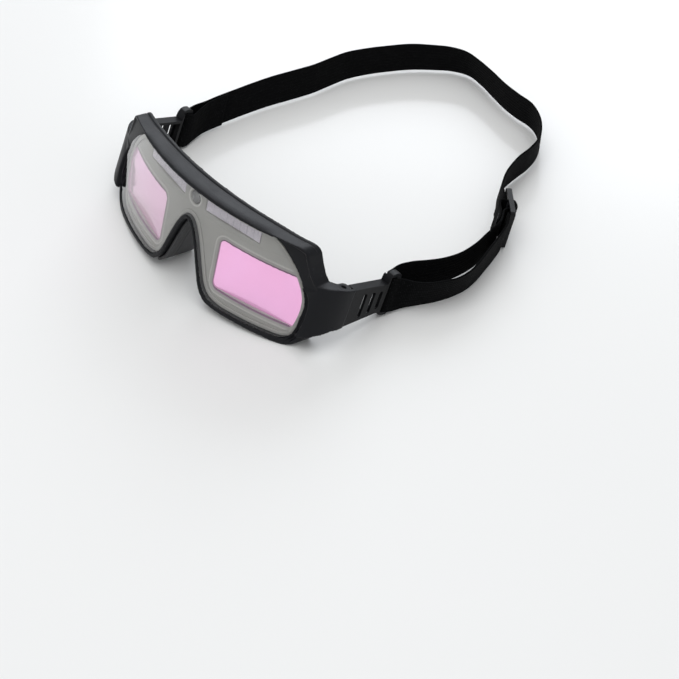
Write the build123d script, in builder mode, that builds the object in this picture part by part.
from build123d import *
import math
import os

os.makedirs("parts", exist_ok=True)

# Auto-darkening welding goggles on an elastic head strap, resting on a table.
# Millimetres.  X is left-right (the wearer's left is +X), the lenses face -Y, Z is up.
# The origin lies on the table in the plane of symmetry, straight below the middle of
# the brow.  "Depth" runs from the lens towards the wearer, square to the FRONT plane.

SIDES = ((1, "left"), (-1, "right"))

# ---- attitude and general fit ----
LEAN = 26.0            # the goggles lean back on their clips by this angle
RAKE = 8.5             # the lens is raked forward from the head's vertical
BROW_Z = 53.25         # height of the brow reference point above the table
GAP = 0.2              # assembly gap between fitted pieces

# ---- cover lens and front frame ----
WRAP_R = 150.0         # wrap radius of the cover lens
LENS_DEPTH = -18.0     # front of the cover lens at the middle
LENS_T = 2.0           # cover lens thickness
LENS_BACK = LENS_DEPTH + LENS_T
FRONT_R = 149.0        # plan radius of the frame's front face and of its front cuts
FRAME_R = 187.0        # radius of the frame's rear edge in plan
FRAME_REAR = -5.0      # depth of the frame's rear edge at the middle
WALL = 1.3             # ledge that the cover lens rests on

# ---- optics ----
PANE_TOP, PANE_BOT = -18.2, -46.4       # visible filter window, along the lens
PANE_H = PANE_TOP - PANE_BOT
PANE_MID = (PANE_TOP + PANE_BOT) / 2
PANE_X = (20.0, 70.5)  # the flat glass lies on the chord of the wrap between these
PANE_SETBACK = 3.1     # front of the glass, behind the front of the cover lens
GLASS_L = 51.2
GLASS_H = PANE_H + 3.0
FILTER_T = 1.1         # interference filter thickness
SHUTTER_T = 1.8        # liquid crystal shutter thickness
WINDOW_T = 0.7         # inner protective window thickness
LAYER_GAP = 0.1
SEAT = 1.9             # the optics stay this far inside the lens outline

# ---- solar cells, sensor, control board ----
SOLAR_L, SOLAR_H, SOLAR_T = 35.0, 6.2, 0.9
SOLAR_X = 8.2          # inner end of the cell
SOLAR_Y = -5.6
SENSOR_R, SENSOR_Y = 3.4, -6.0
BOARD_HALF, BOARD_BOT, BOARD_TOP = 15.0, -12.0, -2.6
BOARD_REAR, BOARD_T = 11.6, 1.0         # rear face, as an offset of FRONT
CHIP_T = 1.2

# ---- shell screws: x, y on the +X side ----
UPPER_SCREW = (15.2, -10.5)
LOWER_SCREW = (46.0, -51.0)

# ---- hinges, in the wearer's axes ----
HINGE_X, HINGE_Y = 82.0, 17.5           # clip hinge axis
PIN_R = 1.3
PIN_FIT = 0.02         # clearance of the pin in its lug
PIN_CLEAR = 0.05       # running clearance of the clip on its pin
EAR_R = 4.0            # rounded ears of the lug
BARREL_R = 2.8
LUG_TOP, LUG_BOT = -14.5, -36.5
LUG_REAR = 21.8
CAVITY_TOP, CAVITY_BOT = -17.8, -33.2
BARREL_GAP = 0.3       # between the barrel's ends and the cavity

# ---- strap clips ----
CLIP_X0, CLIP_X1 = 80.5, 86.0           # clip channel depth
CLIP_TOP = -15.0
CLIP_REAR_BOT = -31.2  # lower rear corner of the tapered body
WEB = 1.7              # clip web thickness
FLANGE = 1.5
BAR_X0, BAR_Y0 = 82.2, 50.6             # inner and front faces of the loop bar
OVERCUT = 0.1

# ---- strap and slider ----
STRAP_W, STRAP_T = 20.0, 1.1
BAR_STRAP_BOT = -31.7  # lower edge of the strap at the loop bars
SLIDER_L, SLIDER_H, SLIDER_T = 20.0, 25.0, 2.6      # along the strap, across, thick
SLIDER_CENTRE = Vector(85.7, 115.6, 12.75)

# ---- reference planes ----
# FRONT looks at the lenses square on: its x is the width, its y runs up the lens.
# PLAN is square to it: x is the width, y the depth.  HEAD is the wearer's
# horizontal plane, in which the hinge pins stand upright.  SIDE is the wearer's
# side view: x runs to the rear, y up.
lens_tilt = math.radians(LEAN - RAKE)
LENS_IN = Vector(0, math.cos(lens_tilt), -math.sin(lens_tilt))
LENS_UP = Vector(0, math.sin(lens_tilt), math.cos(lens_tilt))
head_tilt = math.radians(LEAN)
HEAD_REAR = Vector(0, math.cos(head_tilt), -math.sin(head_tilt))
HEAD_UP = Vector(0, math.sin(head_tilt), math.cos(head_tilt))
BROW = Vector(0, 0, BROW_Z)
FRONT = Plane(origin=BROW, x_dir=(1, 0, 0), z_dir=-LENS_IN)
PLAN = Plane(origin=BROW, x_dir=(1, 0, 0), z_dir=LENS_UP)
HEAD = Plane(origin=BROW, x_dir=(1, 0, 0), z_dir=HEAD_UP)
SIDE = Plane(origin=BROW, x_dir=HEAD_REAR, z_dir=(1, 0, 0))

# Start planes and lengths of extrusions that pass right through the goggles
BEHIND, THROUGH = FRONT.offset(-45), 90.0
PLAN_REACH = 75.0      # each way from PLAN
BESIDE, ACROSS = SIDE.offset(-100), 200.0

# ---- outlines on FRONT, (x, y) of the +X half, from mid brow round to the nose arch ----
LENS_PTS = [(0, 0.4), (16, 0.5), (33, 0.5), (46, 0.4), (50, 0.0), (53.2, -1.6), (57.6, -5.0),
            (62.3, -9.8), (65.7, -14.0), (68.4, -18.6), (70.4, -23.0), (71.8, -28.0),
            (72.2, -34.0), (71.4, -41.0), (70.0, -47.0), (68.2, -51.2), (64.6, -53.4),
            (58, -54.2), (48, -54.6), (37, -54.8), (27, -54.5), (21.8, -53.0), (18.2, -50.0),
            (15.5, -45.2), (13.2, -39.0), (11.1, -33.2), (9.1, -27.9), (6.8, -22.8),
            (4.5, -19.0), (2.3, -17.0), (0, -16.4)]
FRAME_PTS = [(0, 2.6), (16, 2.6), (33, 2.3), (50, 1.7), (62, 1.0), (66.8, 0.4), (68.9, -1.4),
             (70.4, -5.0), (72.1, -9.4), (74.2, -13.8), (76.6, -17.8), (77.8, -22.0),
             (78.4, -29.0), (78.4, -36.0), (77.4, -43.5), (75.2, -49.6), (71.6, -54.0),
             (67.0, -56.6), (59, -57.2), (48, -57.2), (37, -57.1), (27, -56.8), (20.6, -55.2),
             (16.6, -51.6), (13.9, -46.0), (11.6, -39.8), (9.5, -33.9), (7.5, -28.8),
             (5.3, -24.0), (3.4, -20.8), (1.7, -18.9), (0, -18.3)]
# Set-back shoulder outboard of the lens, (x, y) on FRONT
SHOULDER_PTS = [(50.5, 0.9), (62, 0.2), (68, -1.6), (69.6, -6.0), (72.0, -12.0), (75.0, -17.0),
                (78.4, -19.5), (69.0, -21.0), (65.6, -15.2), (61.6, -10.6), (56.8, -6.0),
                (52.6, -2.6)]
# Lug seen from above, (x, y) on HEAD: smooth outer face, then the straight-sided rest
LUG_OUTER_PTS = [(72.0, 4.9), (76.5, 5.7), (80.4, 7.9), (83.7, 11.2), (85.9, 15.2),
                 (86.8, 20.0), (86.9, 30.0)]
LUG_INNER_PTS = [(86.9, 30.0), (78.6, 30.0), (78.6, 15.8), (75.5, 13.0), (72.0, 12.0),
                 (72.0, 4.9)]
# Lug and clip seen from the side, (rearwards, up) on SIDE
LUG_SIDE_PTS = [(-3, -18.5), (6, -16.2), (13, LUG_TOP), (LUG_REAR, LUG_TOP),
                (LUG_REAR, LUG_BOT), (15, -38.2), (9.5, -42.5), (4, -48.5), (-3, -50.5)]
CLIP_PTS = [(22.2, CLIP_TOP), (46.0, CLIP_TOP), (46.4, -12.2), (47.6, -10.1), (49.6, -9.2),
            (52.0, -9.2), (53.6, -10.1), (54.2, -12.0), (54.2, -30.4), (53.5, -32.3),
            (51.6, -33.5), (48.8, -33.8), (47.0, -33.2), (46.0, CLIP_REAR_BOT), (22.2, -36.4)]
# Grip slots of the clip: middle (rearwards, up) on SIDE, and height
GRIP_SLOTS = [(31.6, -25.4, 14.0), (37.6, -24.6, 12.4), (43.0, -23.8, 10.4)]
GRIP_SLOT_W = 2.3


# ---- helpers ----
def save(part, name):
    part.label = name
    export_step(part, "parts/" + name + ".step")


def on_side(side, pts):
    """Points of the +X side, mirrored to -X when side is -1."""
    return [(side * x, y) for x, y in pts]


def inset(pts, distance):
    """Move a half outline inwards, square to itself."""
    moved = []
    last = len(pts) - 1
    for i, (x, y) in enumerate(pts):
        x0, y0 = pts[i - 1] if i > 0 else (-pts[1][0], pts[1][1])
        x1, y1 = pts[i + 1] if i < last else (-pts[last - 1][0], pts[last - 1][1])
        dx, dy = x1 - x0, y1 - y0
        span = math.hypot(dx, dy)
        moved.append((x + dy / span * distance, y - dx / span * distance))
    moved[0] = (0.0, moved[0][1])
    moved[-1] = (0.0, moved[-1][1])
    return moved


# These three draw in the sketch the caller has open.  A BuildLine in a helper does
# not join that sketch, so its edges are handed to make_face.
def outline(pts):
    """Closed symmetric face from a half outline."""
    with BuildLine(Plane.XY) as half:
        Spline(*pts, tangents=((1, 0), (-1, 0)))
        mirror(about=Plane.YZ)
    make_face(half.edges())


def band(front_r, front_depth, rear_r, rear_depth, half=80.0):
    """Curved slab in plan, between two arcs given by radius and depth at the middle."""
    front_end = arc_depth(front_r, front_depth, half)
    rear_end = arc_depth(rear_r, rear_depth, half)
    with BuildLine(Plane.XY) as rim:
        ThreePointArc((-half, front_end), (0, front_depth), (half, front_end))
        Line((half, front_end), (half, rear_end))
        ThreePointArc((half, rear_end), (0, rear_depth), (-half, rear_end))
        Line((-half, rear_end), (-half, front_end))
    make_face(rim.edges())


def limits_box(x0, x1, y0, y1):
    """Rectangle by its limits; x0 and x1 may come in either order."""
    with Locations(((x0 + x1) / 2, (y0 + y1) / 2)):
        Rectangle(abs(x1 - x0), y1 - y0)


def arc_depth(radius, mid_depth, x):
    """Depth at x of an arc that crosses the middle at mid_depth."""
    return mid_depth + radius - math.sqrt(radius * radius - x * x)


def chord_plane(side, x0, x1, setback):
    """Plane facing forwards on the chord x0..x1 of the wrap, behind the lens front."""
    depth0 = arc_depth(WRAP_R, LENS_DEPTH + setback, x0)
    depth1 = arc_depth(WRAP_R, LENS_DEPTH + setback, x1)
    angle = math.atan2(depth1 - depth0, x1 - x0)
    x_dir = Vector(math.cos(angle), 0, 0) + LENS_IN * (math.sin(angle) * side)
    origin = BROW + Vector(side * (x0 + x1) / 2, 0, 0) + LENS_IN * ((depth0 + depth1) / 2)
    return Plane(origin=origin, x_dir=x_dir, z_dir=x_dir.cross(LENS_UP))


def slab_plane(side, x0, x1):
    """SIDE moved to the -X face of the slab x0..x1 on one side."""
    return SIDE.offset(min(side * x0, side * x1))


PANE_PLANES = {side: chord_plane(side, *PANE_X, PANE_SETBACK) for side in (1, -1)}
SOLAR_PLANES = {side: chord_plane(side, SOLAR_X, SOLAR_X + SOLAR_L, LENS_T + 0.9)
                for side in (1, -1)}
INSERT_PTS = inset(LENS_PTS, WALL + GAP)     # outline of the tray and the rear shell
OPTICS_PTS = inset(LENS_PTS, SEAT)


# ---- front frame: brow, rims, nose arch and the two hinge lugs in one moulding ----
def shoulder_cut(side):
    """Material taken away in front of a shoulder."""
    with BuildPart() as shoulder:
        with BuildSketch(FRONT.offset(-60)):
            with BuildLine():
                Polyline(*on_side(side, SHOULDER_PTS), close=True)
            make_face()
        extrude(amount=110)
        with BuildSketch(PLAN):
            band(FRONT_R, LENS_DEPTH - 12, 178.0, LENS_DEPTH + 3.5)
        extrude(amount=PLAN_REACH, both=True, mode=Mode.INTERSECT)
    return shoulder.part


def lug_block(side):
    """Solid lug that carries a strap clip."""
    with BuildPart() as lug:
        with BuildSketch(HEAD.offset(-60)):
            with BuildLine():
                Spline(*on_side(side, LUG_OUTER_PTS))
                Polyline(*on_side(side, LUG_INNER_PTS))
            make_face()
        extrude(amount=60)
        with BuildSketch(BESIDE):
            with BuildLine():
                Polyline(*LUG_SIDE_PTS, close=True)
            make_face()
        extrude(amount=ACROSS, mode=Mode.INTERSECT)
    return lug.part


def lens_pocket():
    """Room for the cover lens, open to the front."""
    depth = LENS_T + 0.6
    with BuildPart() as pocket:
        with BuildSketch(BEHIND):
            outline(inset(LENS_PTS, -GAP))
        extrude(amount=THROUGH)
        with BuildSketch(PLAN):
            band(FRONT_R, LENS_DEPTH - 15, WRAP_R - depth, LENS_DEPTH + depth)
        extrude(amount=PLAN_REACH, both=True, mode=Mode.INTERSECT)
    return pocket.part


def front_frame():
    shoulders = [shoulder_cut(side) for side in (1, -1)]
    lugs = [lug_block(side) for side in (1, -1)]
    pocket = lens_pocket()
    with BuildPart() as frame:
        with BuildSketch(BEHIND):
            outline(FRAME_PTS)
        extrude(amount=THROUGH)
        with BuildSketch(PLAN):
            band(FRONT_R, LENS_DEPTH - 0.5, FRAME_R, FRAME_REAR)
        extrude(amount=PLAN_REACH, both=True, mode=Mode.INTERSECT)
        for shape in shoulders:
            add(shape, mode=Mode.SUBTRACT)
        for shape in lugs:
            add(shape)
        add(pocket, mode=Mode.SUBTRACT)
        # light opening behind the lens
        with BuildSketch(BEHIND):
            outline(inset(LENS_PTS, WALL))
        extrude(amount=THROUGH, mode=Mode.SUBTRACT)
        for side in (1, -1):
            # hinge cavity, open to the rear and to the inside
            with BuildSketch(HEAD.offset(CAVITY_BOT)):
                limits_box(side * 76.5, side * 84.95, 14.4, 30)
            extrude(amount=CAVITY_TOP - CAVITY_BOT, mode=Mode.SUBTRACT)
            # rear of the lug cut back to rounded ears
            with BuildSketch(HEAD.offset(-50)):
                limits_box(side * 70.0, side * 85.1, HINGE_Y, 40)
                with Locations((side * HINGE_X, HINGE_Y)):
                    Circle(EAR_R, mode=Mode.SUBTRACT)
            extrude(amount=50, mode=Mode.SUBTRACT)
            # pin bore
            with BuildSketch(HEAD.offset(-40)):
                with Locations((side * HINGE_X, HINGE_Y)):
                    Circle(PIN_R + PIN_FIT)
            extrude(amount=40, mode=Mode.SUBTRACT)
        # feet: small flats at table level on the lowest points of the two rims
        with BuildSketch(Plane.XY.offset(-12)):
            Rectangle(260, 120)
        extrude(amount=12, mode=Mode.SUBTRACT)
    return frame.part


# ---- cover lens: clear grey polycarbonate shield ----
def cover_lens():
    with BuildPart() as lens:
        with BuildSketch(BEHIND):
            outline(LENS_PTS)
            # a finger notch at each end
            for side in (1, -1):
                with Locations((side * 70.6, -20.8)):
                    Circle(1.7, mode=Mode.SUBTRACT)
        extrude(amount=THROUGH)
        with BuildSketch(PLAN):
            band(WRAP_R, LENS_DEPTH, WRAP_R - LENS_T, LENS_BACK)
        extrude(amount=PLAN_REACH, both=True, mode=Mode.INTERSECT)
    return lens.part


# ---- filter tray: the grey bezel behind the cover lens that carries the optics ----
def optics_seat(side):
    """Room for the optics: the glass rectangle cut to the lens outline."""
    with BuildPart() as seat:
        with BuildSketch(PANE_PLANES[side].offset(0.1)):
            with Locations((0, PANE_MID)):
                Rectangle(GLASS_L + 2 * GAP, GLASS_H + 2 * GAP)
        extrude(amount=-30)
        with BuildSketch(BEHIND):
            outline(inset(LENS_PTS, SEAT - 0.1))
        extrude(amount=THROUGH, mode=Mode.INTERSECT)
    return seat.part


def optics_opening(side):
    """Visible window through the tray, smaller than the glass."""
    with BuildPart() as opening:
        with BuildSketch(PANE_PLANES[side].offset(-25)):
            with Locations((0, PANE_MID)):
                RectangleRounded(GLASS_L - 1.6, PANE_H, 3.0)
        extrude(amount=50)
        with BuildSketch(BEHIND):
            outline(inset(LENS_PTS, SEAT + 0.5))
        extrude(amount=THROUGH, mode=Mode.INTERSECT)
    return opening.part


def filter_tray():
    seats = [optics_seat(side) for side in (1, -1)]
    openings = [optics_opening(side) for side in (1, -1)]
    with BuildPart() as tray:
        with BuildSketch(BEHIND):
            outline(INSERT_PTS)
        extrude(amount=THROUGH)
        with BuildSketch(PLAN):
            band(147.3, LENS_BACK + 0.7, FRAME_R - 1, FRAME_REAR - 1.7)
        extrude(amount=PLAN_REACH, both=True, mode=Mode.INTERSECT)
        for shape in seats + openings:
            add(shape, mode=Mode.SUBTRACT)
        # pockets for the solar cells, from the front
        for side in (1, -1):
            with BuildSketch(SOLAR_PLANES[side].offset(-1.1)):
                with Locations((0, SOLAR_Y)):
                    Rectangle(SOLAR_L + 0.6, SOLAR_H + 0.4)
            extrude(amount=12, mode=Mode.SUBTRACT)
        # bay at the bridge for the control board and battery, from the rear
        with BuildSketch(BEHIND):
            limits_box(-BOARD_HALF - 0.4, BOARD_HALF + 0.4, BOARD_BOT - GAP, BOARD_TOP + GAP)
        extrude(amount=45 + 13.2, mode=Mode.SUBTRACT)
        # sensor port
        with BuildSketch(FRONT):
            with Locations((0, SENSOR_Y)):
                Circle(SENSOR_R + GAP)
        extrude(amount=40, mode=Mode.SUBTRACT)
        # pilot holes of the shell screws
        for (x, y), length in ((UPPER_SCREW, 38.0), (LOWER_SCREW, 34.0)):
            with BuildSketch(FRONT.offset(-30)):
                with Locations((x, y), (-x, y)):
                    Circle(0.75)
            extrude(amount=length, mode=Mode.SUBTRACT)
    return tray.part


# ---- optics and electronics ----
def glass_layer(side, setback, thickness, trim=0.0, corner_r=1.0):
    """One flat layer of the optics, setback behind the front of the stack."""
    with BuildPart() as layer:
        with BuildSketch(PANE_PLANES[side].offset(-setback)):
            with Locations((0, PANE_MID)):
                RectangleRounded(GLASS_L - trim, GLASS_H - trim, corner_r)
        extrude(amount=-thickness)
        with BuildSketch(BEHIND):
            outline(OPTICS_PTS)
        extrude(amount=THROUGH, mode=Mode.INTERSECT)
    return layer.part


def solar_cell(side):
    with BuildPart() as cell:
        with BuildSketch(SOLAR_PLANES[side].offset(-1.0)):
            with Locations((0, SOLAR_Y)):
                Rectangle(SOLAR_L, SOLAR_H)
        extrude(amount=SOLAR_T)
    return cell.part


def sensor_window():
    with BuildPart() as window:
        with BuildSketch(FRONT.offset(-(LENS_BACK + 2.4))):
            with Locations((0, SENSOR_Y)):
                Circle(SENSOR_R)
        extrude(amount=1.5)
        rims = window.edges().filter_by(GeomType.CIRCLE)
        fillet(rims.sort_by(Axis(FRONT.origin, FRONT.z_dir))[-1], 0.5)
    return window.part


def control_board():
    """Board with two components on its rear face."""
    with BuildPart() as board:
        with BuildSketch(FRONT.offset(BOARD_REAR)):
            limits_box(-BOARD_HALF, BOARD_HALF, BOARD_BOT, BOARD_TOP)
        extrude(amount=BOARD_T)
        with BuildSketch(FRONT.offset(BOARD_REAR - CHIP_T)):
            with Locations((-10.5, -9.0), (10.5, -9.0)):
                Rectangle(4.0, 3.0)
        extrude(amount=CHIP_T)
    return board.part


def photo_sensors():
    with BuildPart() as sensors:
        with BuildSketch(FRONT.offset(BOARD_REAR + BOARD_T + 0.1)):
            with Locations((-1.5, SENSOR_Y), (1.5, SENSOR_Y)):
                Circle(1.1)
        extrude(amount=0.8)
    return sensors.part


def button_cell():
    with BuildPart() as cell:
        with BuildSketch(FRONT.offset(8.7)):
            with Locations((0, -7.4)):
                Circle(4.4)
        extrude(amount=2.6)
        chamfer(cell.edges().filter_by(GeomType.CIRCLE), 0.25)
    return cell.part


# ---- rear shell, its screws, and the nose pad ----
def rear_shell():
    with BuildPart() as shell:
        with BuildSketch(BEHIND):
            outline(INSERT_PTS)
        extrude(amount=THROUGH)
        with BuildSketch(PLAN):
            band(FRAME_R - 1, FRAME_REAR - 1.3, FRAME_R, FRAME_REAR - 0.1)
        extrude(amount=PLAN_REACH, both=True, mode=Mode.INTERSECT)
        for side in (1, -1):
            with BuildSketch(PANE_PLANES[side].offset(-40)):
                with Locations((0, PANE_MID)):
                    RectangleRounded(GLASS_L - 6.0, PANE_H - 1.0, 5.0)
            extrude(amount=60, mode=Mode.SUBTRACT)
            with BuildSketch(FRONT.offset(-30)):
                with Locations(*on_side(side, (UPPER_SCREW, LOWER_SCREW))):
                    Circle(0.8)
            extrude(amount=60, mode=Mode.SUBTRACT)
    return shell.part


def shell_screws():
    """Four small pan-head screws, driven from the wearer's side."""
    head_r, head_t = 1.5, 0.8
    slot_l, slot_w = 2.0, 0.45
    floor_t = 0.35     # head left under the slot
    shank_r, shank_l = 0.7, 4.0
    places = [(side * x, y) for x, y in (UPPER_SCREW, LOWER_SCREW) for side in (1, -1)]
    with BuildPart() as screws:
        for x, y in places:
            depth = arc_depth(FRAME_R, FRAME_REAR, abs(x))
            with BuildSketch(FRONT.offset(-depth - 0.5)):
                with Locations((x, y)):
                    Circle(head_r)
                    Rectangle(slot_l, slot_w, mode=Mode.SUBTRACT)
            extrude(amount=-head_t)
            with BuildSketch(FRONT.offset(-depth - 0.5)):
                with Locations((x, y)):
                    Circle(head_r)
            extrude(amount=-floor_t)
            with BuildSketch(FRONT.offset(-depth - 0.6)):
                with Locations((x, y)):
                    Circle(shank_r)
            extrude(amount=shank_l)
    return screws.part


def nose_pad():
    """Soft saddle that lines the nose arch and runs back to the face."""
    clearance, thickness = 0.25, 1.7
    rim_side = inset(FRAME_PTS, -clearance)[-10:]
    nose_side = inset(FRAME_PTS, -clearance - thickness)[-10:]
    with BuildPart() as pad:
        with BuildSketch(FRONT.offset(-6)):
            with BuildLine(Plane.XY) as saddle:
                Spline(*rim_side)
                Spline(*nose_side)
                Line(rim_side[0], nose_side[0])
                mirror(about=Plane.YZ)
            make_face(saddle.edges())
        extrude(amount=20)
        # kept 0.4 clear of the table
        with BuildSketch(Plane.XY.offset(-20)):
            Rectangle(120, 120)
        extrude(amount=20.4, mode=Mode.SUBTRACT)
    return pad.part


# ---- hinge pins and strap clips ----
def hinge_pin(side):
    with BuildPart() as pin:
        with BuildSketch(HEAD.offset(LUG_BOT + 0.6)):
            with Locations((side * HINGE_X, HINGE_Y)):
                Circle(PIN_R)
        extrude(amount=LUG_TOP - LUG_BOT - 1.8)
        chamfer(pin.edges().filter_by(GeomType.CIRCLE), 0.2)
    return pin.part


def strap_clip(side):
    inside = CLIP_X0 - OVERCUT
    barrel_bot, barrel_top = CAVITY_BOT + BARREL_GAP, CAVITY_TOP - BARREL_GAP
    with BuildPart() as clip:
        # tapered body and rounded loop end
        with BuildSketch(slab_plane(side, CLIP_X0, CLIP_X1)):
            with BuildLine():
                Polyline(*CLIP_PTS, close=True)
            make_face()
        extrude(amount=CLIP_X1 - CLIP_X0)
        # hollow between the flanges, open to the inside
        with BuildSketch(slab_plane(side, inside, CLIP_X1 - WEB)):
            with BuildLine():
                Polyline((21.0, CLIP_TOP - FLANGE), (45.2, CLIP_TOP - FLANGE),
                         (45.2, CLIP_REAR_BOT + FLANGE), (21.0, -36.7 + FLANGE), close=True)
            make_face()
        extrude(amount=CLIP_X1 - WEB - inside, mode=Mode.SUBTRACT)
        # the loop end is thinner than the body on its inner side
        with BuildSketch(slab_plane(side, inside, BAR_X0)):
            limits_box(47.0, 60, -40, -5)
        extrude(amount=BAR_X0 - inside, mode=Mode.SUBTRACT)
        # strap slot
        with BuildSketch(BESIDE):
            limits_box(47.2, BAR_Y0, -32.0, -11.4)
        extrude(amount=ACROSS, mode=Mode.SUBTRACT)
        # grip slots through the web
        with BuildSketch(BESIDE):
            for y, z, height in GRIP_SLOTS:
                with Locations((y, z)):
                    SlotOverall(height, GRIP_SLOT_W, rotation=90)
        extrude(amount=ACROSS, mode=Mode.SUBTRACT)
        # tongue and hinge barrel
        with BuildSketch(HEAD.offset(barrel_bot)):
            limits_box(side * (HINGE_X - 1.2), side * (HINGE_X + 2.6), HINGE_Y, 24.5)
            with Locations((side * HINGE_X, HINGE_Y)):
                Circle(BARREL_R)
        extrude(amount=barrel_top - barrel_bot)
        # gap in the middle of the barrel
        with BuildSketch(HEAD.offset(-29.0)):
            limits_box(side * (HINGE_X - 4), side * (HINGE_X + 6), HINGE_Y - 6, 20.9)
        extrude(amount=7.0, mode=Mode.SUBTRACT)
        # pin bore
        with BuildSketch(HEAD.offset(-45)):
            with Locations((side * HINGE_X, HINGE_Y)):
                Circle(PIN_R + PIN_CLEAR)
        extrude(amount=45, mode=Mode.SUBTRACT)
    return clip.part


# ---- slider: three-bar adjuster standing in the strap's path ----
ALONG = Vector(-0.797, 0.604, 0.0).normalized()         # along the strap
rough_out = Vector(0.5895, 0.778, -0.218)
OUT = (rough_out - ALONG * rough_out.dot(ALONG)).normalized()
SLIDER_UP = OUT.cross(ALONG)                            # across the strap


def slider():
    with BuildPart() as adjuster:
        with BuildSketch(Plane(origin=SLIDER_CENTRE, x_dir=ALONG, z_dir=OUT)
                         .offset(-SLIDER_T / 2)):
            RectangleRounded(SLIDER_L, SLIDER_H, 1.6)
            with Locations((-4.75, 0), (4.75, 0)):
                RectangleRounded(6.5, 21.6, 0.6, mode=Mode.SUBTRACT)
        extrude(amount=SLIDER_T)
    return adjuster.part


# ---- strap webbing ----
# A station is the strap's lower and upper edge point; these make one from a table row.
def at_bar(side, x, y):
    """Station at a clip's loop bar, in the wearer's axes."""
    base = BROW + Vector(side * x, 0, 0) + HEAD_REAR * y
    return (base + HEAD_UP * BAR_STRAP_BOT, base + HEAD_UP * (BAR_STRAP_BOT + STRAP_W))


def at_slider(along, out):
    """Station at the slider, from its centre."""
    mid = SLIDER_CENTRE + ALONG * along + OUT * out
    return (mid - SLIDER_UP * (STRAP_W / 2), mid + SLIDER_UP * (STRAP_W / 2))


def free_station(low_x, low_y, low_z, up_x, up_y, up_z):
    """Station from its lower edge point and a point that the upper edge lies towards."""
    low, towards = Vector(low_x, low_y, low_z), Vector(up_x, up_y, up_z)
    return (low, low + (towards - low).normalized() * STRAP_W)


# At the slider: (along the strap, outwards).  Sewn end, round the middle bar and back
SEWN_LOOP = [
    (-12.5, -8.0), (-8.5, -6.3), (-4.0, -5.3), (1.2, -5.1), (3.1, -4.3), (3.5, -2.6),
    (2.8, -0.6), (2.7, 1.0), (1.7, 2.0), (-1.7, 2.0), (-2.7, 1.0), (-2.8, -0.6),
    (-3.4, -2.4), (-4.9, -3.7), (-8.8, -4.8), (-13.0, -6.5),
]
# Outer ply, through the slider and over the middle bar
SLIDER_PASS = [
    (-11.8, -2.1), (-8.3, -2.0), (-6.6, -1.6), (-5.2, -0.3), (-4.0, 1.5), (-2.9, 2.9),
    (-1.6, 3.35), (1.6, 3.35), (2.9, 2.9), (4.0, 1.5), (5.2, -0.3), (6.6, -1.6),
    (8.3, -2.0), (11.8, -2.1),
]
# At the loop bars: (x, y) in the wearer's axes, x on the bar's own side
LEFT_BAR = [(78.8, 53.6), (79.5, 51.2), (81.2, 49.3), (83.2, 48.7), (84.8, 48.7),
            (86.35, 49.4), (86.85, 51.2), (87.0, 53.0)]
RIGHT_BAR = [(87.0, 53.0), (86.85, 51.2), (86.35, 49.4), (84.8, 48.7), (83.2, 48.7),
             (81.8, 49.5), (81.2, 51.2), (81.0, 53.0)]
# Free runs: x, y, z of the lower edge, then x, y, z towards the upper edge
INNER_PLY = [          # forward to the left clip
    (90.2, 95.5, 0.9, 93.0, 96.5, 20.4), (91.6, 86.5, 0.8, 94.6, 86.5, 20.3),
    (91.2, 77.5, 0.8, 94.4, 76.8, 20.3), (89.0, 67.5, 0.8, 91.2, 66.8, 20.4),
    (86.0, 58.8, 0.8, 86.8, 59.6, 20.4), (82.4, 49.5, 0.9, 82.4, 54.3, 20.3),
    (79.6, 41.8, 1.1, 79.4, 48.4, 19.9),
]
OUTER_PLY = [          # back to the slider
    (89.2, 40.8, 1.1, 93.6, 45.9, 19.8), (93.0, 48.5, 0.8, 99.2, 51.4, 19.7),
    (96.8, 56.0, 0.7, 103.0, 57.4, 19.7), (99.4, 63.5, 0.7, 105.8, 63.4, 19.6),
    (100.8, 72.0, 0.7, 106.6, 71.2, 19.8), (99.8, 80.8, 0.7, 104.8, 80.0, 20.0),
    (97.5, 89.2, 0.8, 101.8, 88.8, 20.3), (95.2, 97.0, 0.9, 98.9, 97.8, 20.4),
]
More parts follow.
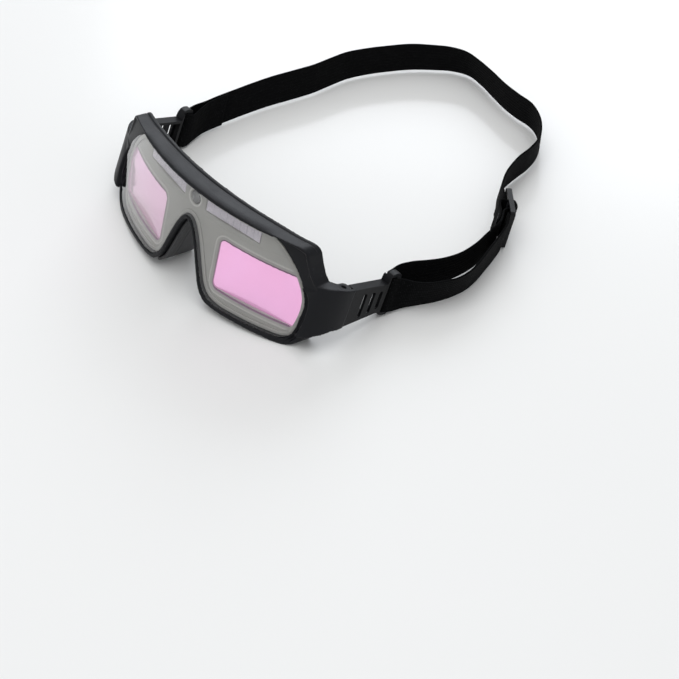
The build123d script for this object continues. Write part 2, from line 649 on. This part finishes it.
HEAD_RUN = [           # round the back of the head to the right clip
    (69.6, 124.6, 0.8, 74.2, 123.6, 20.2), (64.2, 130.8, 0.7, 71.4, 126.8, 19.0),
    (60.0, 138.5, 0.7, 66.0, 135.4, 19.5), (58.4, 148.5, 0.7, 62.4, 147.6, 20.2),
    (57.6, 158.0, 0.7, 61.4, 157.0, 20.2), (55.2, 166.5, 0.7, 59.2, 164.8, 20.1),
    (50.4, 174.3, 0.7, 54.6, 171.4, 20.0), (43.4, 180.6, 0.7, 46.9, 177.8, 20.1),
    (34.8, 183.6, 0.7, 37.0, 181.8, 20.4), (24.8, 183.4, 0.7, 26.4, 182.0, 20.5),
    (14.4, 184.0, 0.7, 15.3, 182.6, 20.5), (3.2, 186.0, 0.7, 3.6, 184.4, 20.5),
    (-9.0, 188.4, 0.7, -8.9, 185.8, 20.4), (-19.4, 188.8, 0.7, -19.0, 185.7, 20.3),
    (-28.4, 184.8, 0.7, -27.4, 182.2, 20.3), (-37.0, 177.4, 0.7, -35.8, 175.6, 20.4),
    (-45.6, 168.4, 0.7, -44.4, 167.5, 20.5), (-53.0, 158.0, 0.7, -51.6, 157.5, 20.5),
    (-59.8, 146.4, 0.7, -58.6, 146.3, 20.5), (-64.0, 136.4, 0.7, -63.2, 136.9, 20.5),
    (-66.0, 126.0, 0.7, -65.4, 127.2, 20.5), (-67.8, 114.9, 0.7, -67.4, 117.4, 20.4),
    (-71.8, 102.0, 0.7, -71.6, 105.2, 20.3), (-76.0, 89.5, 0.7, -75.8, 93.4, 20.2),
    (-79.2, 77.0, 0.7, -79.0, 82.0, 20.0), (-81.6, 65.0, 0.8, -81.6, 71.2, 19.8),
    (-83.6, 55.0, 0.9, -83.8, 62.2, 19.6), (-85.0, 46.6, 1.0, -85.2, 54.4, 19.4),
    (-86.4, 41.0, 1.1, -86.6, 49.2, 19.3),
]
CLIP_END = [           # sewn end at the right clip
    (-82.2, 42.0, 1.1, -82.4, 50.2, 19.3), (-82.9, 47.5, 1.0, -83.1, 55.2, 19.4),
    (-82.2, 55.0, 0.9, -82.4, 62.2, 19.6), (-81.2, 60.5, 0.9, -81.3, 67.2, 19.7),
]
to_right_clip = (
    [at_slider(*row) for row in SEWN_LOOP]
    + [free_station(*row) for row in INNER_PLY]
    + [at_bar(1, *row) for row in LEFT_BAR]
    + [free_station(*row) for row in OUTER_PLY]
    + [at_slider(*row) for row in SLIDER_PASS]
    + [free_station(*row) for row in HEAD_RUN]
)
STATIONS = (
    to_right_clip
    + [at_bar(-1, *row) for row in RIGHT_BAR]
    + [free_station(*row) for row in CLIP_END]
)
MIDDLES = [(low + high) * 0.5 for low, high in STATIONS]
SLIDER_SEAM = 1                        # stations of the stitching
CLIP_SEAM = len(to_right_clip) - 2
LOFT_SPANS = 6                         # the webbing is lofted this many spans at a time


def section(i):
    """Plane across the webbing at station i, x through its thickness, y up its width."""
    low, high = STATIONS[i]
    up = (high - low).normalized()
    run = MIDDLES[min(i + 1, len(MIDDLES) - 1)] - MIDDLES[max(i - 1, 0)]
    run = (run - up * run.dot(up)).normalized()
    return Plane(origin=MIDDLES[i], x_dir=up.cross(run), z_dir=run)


def strap_webbing():
    with BuildPart() as webbing:
        for first in range(0, len(STATIONS) - 1, LOFT_SPANS):
            for i in range(first, min(first + LOFT_SPANS + 1, len(STATIONS))):
                with BuildSketch(section(i)):
                    Rectangle(STRAP_T, STRAP_W)
            loft(ruled=True)
    return webbing.part


def stitching(station, offset, length):
    """Row of thread bars up the webbing, offset from its mid-thickness."""
    across = section(station)
    with BuildPart() as threads:
        for k in range(9):
            origin = across.origin + across.y_dir * (-8.0 + 2.0 * k)
            with BuildSketch(Plane(origin=origin, x_dir=across.z_dir, z_dir=across.x_dir)
                             .offset(offset)):
                RectangleRounded(length, 0.5, 0.2)
            extrude(amount=0.3)
    return threads.part


# ---- build and write every piece ----
save(front_frame(), "front_frame")
save(cover_lens(), "cover_lens")
save(filter_tray(), "filter_tray")
for side, name in SIDES:
    behind_filter = FILTER_T + LAYER_GAP
    behind_shutter = behind_filter + SHUTTER_T + LAYER_GAP
    save(glass_layer(side, 0.0, FILTER_T), name + "_interference_filter")
    save(glass_layer(side, behind_filter, SHUTTER_T), name + "_lcd_shutter")
    save(glass_layer(side, behind_shutter, WINDOW_T, trim=0.4, corner_r=1.5),
         name + "_inner_window")
    save(solar_cell(side), name + "_solar_cell")
    save(hinge_pin(side), name + "_hinge_pin")
    save(strap_clip(side), name + "_clip")
save(sensor_window(), "sensor_window")
save(control_board(), "control_board")
save(photo_sensors(), "photo_sensors")
save(button_cell(), "button_cell")
save(rear_shell(), "rear_shell")
save(nose_pad(), "nose_pad")
save(shell_screws(), "shell_screws")
save(slider(), "slider")
save(strap_webbing(), "strap_webbing")
# thread on the outer face at the right clip, on the inner face at the slider
save(stitching(CLIP_SEAM, -STRAP_T / 2 - 0.42, 3.6), "clip_stitching")
save(stitching(SLIDER_SEAM, STRAP_T / 2 + 0.2, 2.4), "slider_stitching")
